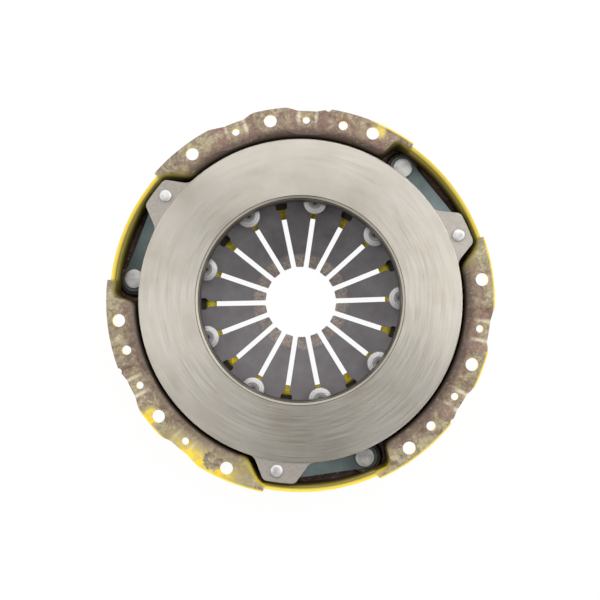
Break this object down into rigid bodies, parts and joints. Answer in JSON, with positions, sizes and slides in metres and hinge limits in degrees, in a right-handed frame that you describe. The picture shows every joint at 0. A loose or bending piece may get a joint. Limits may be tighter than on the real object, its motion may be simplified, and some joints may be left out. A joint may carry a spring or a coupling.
{
  "type": "clutch pressure plate",
  "caption": "Dry clutch cover assembly with a sliding pressure plate, diaphragm spring fingers, fulcrum rings, drive straps and a bolted flange.",
  "frame": {"origin": "centre of the bolt circle on the flange's mounting face", "axes": "+Z along the clutch's axis, from the cover towards the flywheel; +X through a bolt hole"},
  "size_m": [0.2722, 0.2698, 0.0387],
  "materials": {
    "cover": "yellow paint over pressed steel, worn to brown oxide on the mounting face",
    "plate": "ground friction face, light warm grey",
    "spring": "dark shot-peened spring steel",
    "wire": "drawn wire",
    "rivet": "upset head with turned rings",
    "seat_rivet": "upset head, satin",
    "lug_rivet": "bright domed head",
    "strap": "blued spring steel"
  },
  "bodies": {
    "cover": {"cover": "cover", "upper_fulcrum_ring": "wire", "lower_fulcrum_ring": "wire", "fulcrum_rivet_1": "rivet", "fulcrum_rivet_2": "rivet", "fulcrum_rivet_3": "rivet", "fulcrum_rivet_4": "rivet", "fulcrum_rivet_5": "rivet", "fulcrum_rivet_6": "rivet", "fulcrum_rivet_7": "rivet", "fulcrum_rivet_8": "rivet", "fulcrum_rivet_9": "rivet", "strap_seat_rivet_1": "seat_rivet", "strap_seat_rivet_2": "seat_rivet", "strap_seat_rivet_3": "seat_rivet", "strap_1_leaf_1": "strap", "strap_1_leaf_2": "strap", "strap_1_leaf_3": "strap", "strap_2_leaf_1": "strap", "strap_2_leaf_2": "strap", "strap_2_leaf_3": "strap", "strap_3_leaf_1": "strap", "strap_3_leaf_2": "strap", "strap_3_leaf_3": "strap"},
    "pressure_plate": {"pressure_plate": "plate", "lug_rivet_1": "lug_rivet", "lug_rivet_2": "lug_rivet", "lug_rivet_3": "lug_rivet"},
    "finger_01": {"spring_finger_01": "spring"},
    "finger_02": {"spring_finger_02": "spring"},
    "finger_03": {"spring_finger_03": "spring"},
    "finger_04": {"spring_finger_04": "spring"},
    "finger_05": {"spring_finger_05": "spring"},
    "finger_06": {"spring_finger_06": "spring"},
    "finger_07": {"spring_finger_07": "spring"},
    "finger_08": {"spring_finger_08": "spring"},
    "finger_09": {"spring_finger_09": "spring"},
    "finger_10": {"spring_finger_10": "spring"},
    "finger_11": {"spring_finger_11": "spring"},
    "finger_12": {"spring_finger_12": "spring"},
    "finger_13": {"spring_finger_13": "spring"},
    "finger_14": {"spring_finger_14": "spring"},
    "finger_15": {"spring_finger_15": "spring"},
    "finger_16": {"spring_finger_16": "spring"},
    "finger_17": {"spring_finger_17": "spring"},
    "finger_18": {"spring_finger_18": "spring"}
  },
  "joints": [
    {"name": "plate_slide", "type": "slide", "parent": "cover", "child": "pressure_plate", "axis": [0, 0, 1], "range_m": [-0.0055, 0], "stiffness_N_per_m": 12000, "springref_m": 0.004, "deforming": ["strap_1_leaf_1", "strap_1_leaf_2", "strap_1_leaf_3", "strap_2_leaf_1", "strap_2_leaf_2", "strap_2_leaf_3", "strap_3_leaf_1", "strap_3_leaf_2", "strap_3_leaf_3"]},
    {"name": "finger_01_tilt", "type": "hinge", "parent": "cover", "child": "finger_01", "pos_m": [0.07689, 0.00686, -0.0245], "axis": [-0.0889, 0.996, 0], "range_deg": [0, 25.5]},
    {"name": "finger_02_tilt", "type": "hinge", "parent": "cover", "child": "finger_02", "pos_m": [0.06991, 0.03275, -0.0245], "axis": [-0.4242, 0.9056, 0], "range_deg": [0, 25.5]},
    {"name": "finger_03_tilt", "type": "hinge", "parent": "cover", "child": "finger_03", "pos_m": [0.05449, 0.05468, -0.0245], "axis": [-0.7083, 0.7059, 0], "range_deg": [0, 25.5]},
    {"name": "finger_04_tilt", "type": "hinge", "parent": "cover", "child": "finger_04", "pos_m": [0.0325, 0.07002, -0.0245], "axis": [-0.907, 0.421, 0], "range_deg": [0, 25.5]},
    {"name": "finger_05_tilt", "type": "hinge", "parent": "cover", "child": "finger_05", "pos_m": [0.00659, 0.07692, -0.0245], "axis": [-0.9963, 0.0854, 0], "range_deg": [0, 25.5]},
    {"name": "finger_06_tilt", "type": "hinge", "parent": "cover", "child": "finger_06", "pos_m": [-0.02011, 0.07453, -0.0245], "axis": [-0.9655, -0.2605, 0], "range_deg": [0, 25.5]},
    {"name": "finger_07_tilt", "type": "hinge", "parent": "cover", "child": "finger_07", "pos_m": [-0.04439, 0.06316, -0.0245], "axis": [-0.8181, -0.575, 0], "range_deg": [0, 25.5]},
    {"name": "finger_08_tilt", "type": "hinge", "parent": "cover", "child": "finger_08", "pos_m": [-0.06332, 0.04417, -0.0245], "axis": [-0.5721, -0.8202, 0], "range_deg": [0, 25.5]},
    {"name": "finger_09_tilt", "type": "hinge", "parent": "cover", "child": "finger_09", "pos_m": [-0.0746, 0.01985, -0.0245], "axis": [-0.2571, -0.9664, 0], "range_deg": [0, 25.5]},
    {"name": "finger_10_tilt", "type": "hinge", "parent": "cover", "child": "finger_10", "pos_m": [-0.07689, -0.00686, -0.0245], "axis": [0.0889, -0.996, 0], "range_deg": [0, 25.5]},
    {"name": "finger_11_tilt", "type": "hinge", "parent": "cover", "child": "finger_11", "pos_m": [-0.06991, -0.03275, -0.0245], "axis": [0.4242, -0.9056, 0], "range_deg": [0, 25.5]},
    {"name": "finger_12_tilt", "type": "hinge", "parent": "cover", "child": "finger_12", "pos_m": [-0.05449, -0.05468, -0.0245], "axis": [0.7083, -0.7059, 0], "range_deg": [0, 25.5]},
    {"name": "finger_13_tilt", "type": "hinge", "parent": "cover", "child": "finger_13", "pos_m": [-0.0325, -0.07002, -0.0245], "axis": [0.907, -0.421, 0], "range_deg": [0, 25.5]},
    {"name": "finger_14_tilt", "type": "hinge", "parent": "cover", "child": "finger_14", "pos_m": [-0.00659, -0.07692, -0.0245], "axis": [0.9963, -0.0854, 0], "range_deg": [0, 25.5]},
    {"name": "finger_15_tilt", "type": "hinge", "parent": "cover", "child": "finger_15", "pos_m": [0.02011, -0.07453, -0.0245], "axis": [0.9655, 0.2605, 0], "range_deg": [0, 25.5]},
    {"name": "finger_16_tilt", "type": "hinge", "parent": "cover", "child": "finger_16", "pos_m": [0.04439, -0.06316, -0.0245], "axis": [0.8181, 0.575, 0], "range_deg": [0, 25.5]},
    {"name": "finger_17_tilt", "type": "hinge", "parent": "cover", "child": "finger_17", "pos_m": [0.06332, -0.04417, -0.0245], "axis": [0.5721, 0.8202, 0], "range_deg": [0, 25.5]},
    {"name": "finger_18_tilt", "type": "hinge", "parent": "cover", "child": "finger_18", "pos_m": [0.0746, -0.01985, -0.0245], "axis": [0.2571, 0.9664, 0], "range_deg": [0, 25.5]}
  ],
  "couplings": [
    {"joint": "finger_01_tilt", "follows": "plate_slide", "rad_per_m": -80.9},
    {"joint": "finger_02_tilt", "follows": "plate_slide", "rad_per_m": -80.9},
    {"joint": "finger_03_tilt", "follows": "plate_slide", "rad_per_m": -80.9},
    {"joint": "finger_04_tilt", "follows": "plate_slide", "rad_per_m": -80.9},
    {"joint": "finger_05_tilt", "follows": "plate_slide", "rad_per_m": -80.9},
    {"joint": "finger_06_tilt", "follows": "plate_slide", "rad_per_m": -80.9},
    {"joint": "finger_07_tilt", "follows": "plate_slide", "rad_per_m": -80.9},
    {"joint": "finger_08_tilt", "follows": "plate_slide", "rad_per_m": -80.9},
    {"joint": "finger_09_tilt", "follows": "plate_slide", "rad_per_m": -80.9},
    {"joint": "finger_10_tilt", "follows": "plate_slide", "rad_per_m": -80.9},
    {"joint": "finger_11_tilt", "follows": "plate_slide", "rad_per_m": -80.9},
    {"joint": "finger_12_tilt", "follows": "plate_slide", "rad_per_m": -80.9},
    {"joint": "finger_13_tilt", "follows": "plate_slide", "rad_per_m": -80.9},
    {"joint": "finger_14_tilt", "follows": "plate_slide", "rad_per_m": -80.9},
    {"joint": "finger_15_tilt", "follows": "plate_slide", "rad_per_m": -80.9},
    {"joint": "finger_16_tilt", "follows": "plate_slide", "rad_per_m": -80.9},
    {"joint": "finger_17_tilt", "follows": "plate_slide", "rad_per_m": -80.9},
    {"joint": "finger_18_tilt", "follows": "plate_slide", "rad_per_m": -80.9}
  ]
}
